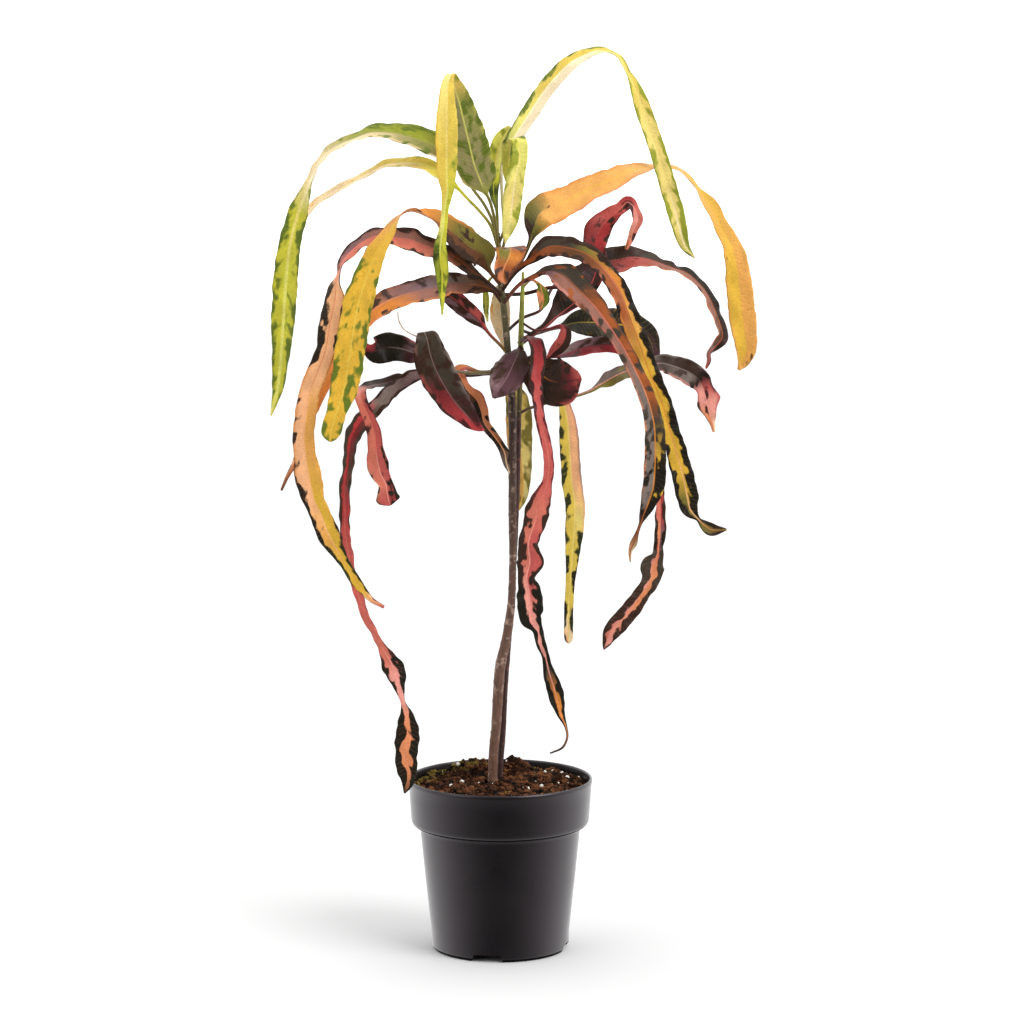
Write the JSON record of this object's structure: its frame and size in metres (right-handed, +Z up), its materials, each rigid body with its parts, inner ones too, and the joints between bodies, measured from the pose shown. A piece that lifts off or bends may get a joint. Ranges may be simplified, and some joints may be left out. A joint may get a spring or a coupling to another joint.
{
  "type": "potted croton",
  "caption": "Potted croton houseplant: long drooping, patchily coloured strap leaves on slim upright stems, growing in soil in a round tapered nursery pot.",
  "frame": {"origin": "centre of the flat middle of the pot's base, on the surface the pot stands on", "axes": "+Z up, out of the pot along the stems; -Y towards the front of the plant; +X to the right seen from the front"},
  "size_m": [0.3232, 0.1982, 0.5845],
  "materials": {
    "pot_plastic": "satin moulded plastic, charcoal",
    "potting_soil": "loose damp peat with perlite",
    "stem_bark": "thin grey-brown bark with leaf scars",
    "leaf_lime": "waxy leaf, yellow-green with green patches",
    "leaf_gold": "waxy leaf, golden to peach with dark patches",
    "leaf_salmon": "waxy leaf, salmon and amber with dark patches",
    "leaf_crimson": "waxy leaf, crimson with near-black patches",
    "leaf_maroon": "waxy leaf, near-black maroon with coloured veins"
  },
  "bodies": {
    "root": {"pot": "pot_plastic", "soil": "potting_soil", "stem_main": "stem_bark", "stem_second": "stem_bark", "leaf_crown_front": "leaf_lime", "leaf_lime_arch_left": "leaf_lime", "leaf_peach_arch_left": "leaf_gold", "leaf_crown_arch_right": "leaf_lime", "leaf_crown_inner": "leaf_lime", "leaf_crown_young": "leaf_lime", "leaf_orange_right": "leaf_gold", "leaf_gold_left_front": "leaf_gold", "leaf_salmon_left_long": "leaf_salmon", "leaf_dark_orange_left": "leaf_salmon", "leaf_purple_left_short": "leaf_maroon", "leaf_curled_dark_left": "leaf_maroon", "leaf_broad_purple_left": "leaf_maroon", "leaf_red_strap_left": "leaf_crimson", "leaf_red_folded_left": "leaf_crimson", "leaf_salmon_twist_left": "leaf_salmon", "leaf_purple_front_left": "leaf_maroon", "leaf_purple_front_right": "leaf_maroon", "leaf_red_centre_long": "leaf_crimson", "leaf_yellow_right_back": "leaf_gold", "leaf_olive_behind_stem": "leaf_lime", "leaf_big_strap_right": "leaf_gold", "leaf_pink_strap_right": "leaf_salmon", "leaf_crimson_upright": "leaf_crimson", "leaf_maroon_arch_right": "leaf_maroon", "leaf_pale_right": "leaf_salmon", "leaf_dark_veined_right": "leaf_maroon", "leaf_grey_crimson_right": "leaf_maroon", "leaf_small_folded_right": "leaf_maroon", "leaf_low_right": "leaf_crimson", "leaf_brown_crown_front": "leaf_gold", "leaf_peach_behind_stem": "leaf_gold", "leaf_small_green_left": "leaf_lime", "leaf_small_peach_right": "leaf_gold"}
  },
  "joints": []
}
